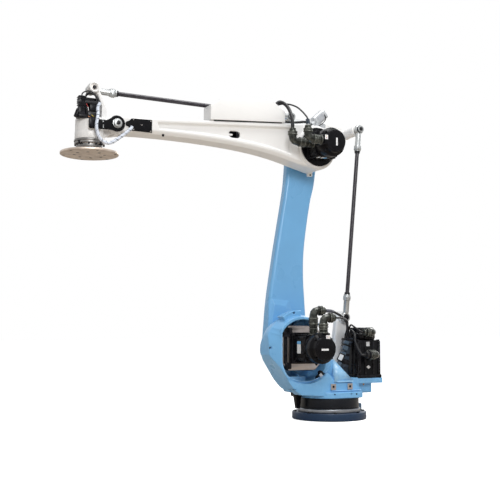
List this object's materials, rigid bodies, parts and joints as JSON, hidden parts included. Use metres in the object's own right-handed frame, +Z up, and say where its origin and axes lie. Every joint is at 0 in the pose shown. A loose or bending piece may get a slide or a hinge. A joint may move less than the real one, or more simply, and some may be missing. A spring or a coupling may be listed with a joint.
{
  "type": "palletising robot arm",
  "caption": "Floor-standing jointed robot arm that keeps its tool plate level with parallel rods: swivel base, leaning lower arm, long tapering upper arm and turning tool disc.",
  "frame": {"origin": "on the swivel axis, at the underside of the base flange", "axes": "+X forward from the swivel axis to the tool, +Y to the side the arm motors are on, +Z up along the swivel axis"},
  "size_m": [1.9845, 0.6073, 1.8875],
  "materials": {
    "sky_blue_enamel": "satin enamel on cast iron",
    "white_enamel": "satin enamel on cast aluminium",
    "navy_enamel": "satin enamel",
    "blue_black_enamel": "satin enamel",
    "blue_grey_enamel": "satin enamel",
    "satin_black": "satin black",
    "olive_connector": "olive-black anodised shell",
    "charcoal_tube": "satin charcoal",
    "zinc_plate": "bright zinc plate",
    "machined_steel": "machined",
    "tool_disc_steel": "machined, brown-grey",
    "machined_aluminium": "machined",
    "die_cast_grey": "die cast",
    "cable_jacket": "matt black jacket",
    "pale_sleeve": "pale wrapped sleeve"
  },
  "bodies": {
    "base": {"base_flange": "navy_enamel", "j1_bearing_ring": "machined_steel", "base_drum": "blue_black_enamel", "base_stop_block": "blue_grey_enamel"},
    "waist": {"waist_frame": "sky_blue_enamel", "j1_output_hub": "machined_steel", "j1_stop_pin": "satin_black", "j1_motor": "satin_black", "j1_motor_cap": "satin_black", "j1_power_plug": "olive_connector", "j1_encoder_plug": "olive_connector", "j2_reducer_case": "blue_black_enamel", "j2_adapter_plate": "machined_aluminium", "j2_motor": "satin_black", "j2_motor_cap": "satin_black", "j2_power_plug": "olive_connector", "j2_encoder_plug": "olive_connector", "link_bracket": "white_enamel", "link_bracket_pin": "satin_black", "connector_stack": "blue_grey_enamel", "j2_power_cable": "cable_jacket", "j2_encoder_cable": "cable_jacket", "j1_power_cable": "cable_jacket", "j1_encoder_cable": "cable_jacket"},
    "lower_arm": {"lower_arm": "sky_blue_enamel", "j2_output_flange": "machined_steel", "j3_bearing_flange": "machined_steel", "elbow_pivot_pin": "machined_steel"},
    "elbow_link": {"elbow_link": "white_enamel", "rear_link_pin": "satin_black", "front_link_pin": "satin_black"},
    "upper_arm": {"upper_arm": "white_enamel", "j3_motor_flange": "satin_black", "j3_motor": "satin_black", "j3_motor_cap": "satin_black", "j3_power_plug": "olive_connector", "j3_encoder_plug": "olive_connector", "cable_cover": "white_enamel", "connector_hood": "die_cast_grey", "hood_cable": "cable_jacket", "j3_power_cable": "cable_jacket", "j3_encoder_cable": "cable_jacket", "wrist_cable_plate": "satin_black"},
    "wrist": {"wrist_head": "white_enamel", "wrist_link_pin": "zinc_plate", "wrist_torque_lever": "satin_black", "wrist_pin": "zinc_plate", "j4_motor": "satin_black", "j4_motor_cap": "satin_black", "j4_motor_lead": "cable_jacket", "j4_reducer_case": "machined_steel", "wrist_cable": "pale_sleeve"},
    "tool": {"tool_output_flange": "satin_black", "tool_disc": "tool_disc_steel"},
    "rear_rod": {"rear_rod_tube": "charcoal_tube", "rear_rod_start_end": "zinc_plate", "rear_rod_far_end": "zinc_plate"},
    "front_rod": {"front_rod_tube": "charcoal_tube", "front_rod_start_end": "zinc_plate", "front_rod_far_end": "zinc_plate"}
  },
  "joints": [
    {"name": "j1_swivel", "type": "hinge", "parent": "base", "child": "waist", "pos_m": [0, 0, 0.128], "axis": [0, 0, 1], "range_deg": [-165, 165]},
    {"name": "j2_lower_arm", "type": "hinge", "parent": "waist", "child": "lower_arm", "pos_m": [0.235, 0, 0.422], "axis": [0, 1, 0], "range_deg": [-25, 60]},
    {"name": "elbow_link_level", "type": "hinge", "parent": "lower_arm", "child": "elbow_link", "pos_m": [0.11951, 0, 1.62145], "axis": [0, 1, 0], "range_deg": [-60, 25]},
    {"name": "j3_upper_arm", "type": "hinge", "parent": "elbow_link", "child": "upper_arm", "pos_m": [0.11951, 0, 1.62145], "axis": [0, 1, 0], "range_deg": [-15, 45]},
    {"name": "rear_rod_swing", "type": "hinge", "parent": "waist", "child": "rear_rod", "pos_m": [-0.168, -0.068, 0.604], "axis": [0, 1, 0], "range_deg": [-25, 60]},
    {"name": "front_rod_swing", "type": "hinge", "parent": "elbow_link", "child": "front_rod", "pos_m": [0.22651, -0.052, 1.82595], "axis": [0, 1, 0], "range_deg": [-15, 45]},
    {"name": "wrist_level", "type": "hinge", "parent": "upper_arm", "child": "wrist", "pos_m": [1.37448, 0, 1.62912], "axis": [0, 1, 0], "range_deg": [-45, 15]},
    {"name": "j4_tool", "type": "hinge", "parent": "wrist", "child": "tool", "pos_m": [1.49698, 0, 1.47912], "axis": [0, 0, 1], "range_deg": [-360, 360]}
  ],
  "couplings": [
    {"joint": "elbow_link_level", "follows": "j2_lower_arm", "ratio": -1},
    {"joint": "rear_rod_swing", "follows": "j2_lower_arm", "ratio": 1},
    {"joint": "front_rod_swing", "follows": "j3_upper_arm", "ratio": 1},
    {"joint": "wrist_level", "follows": "j3_upper_arm", "ratio": -1}
  ]
}
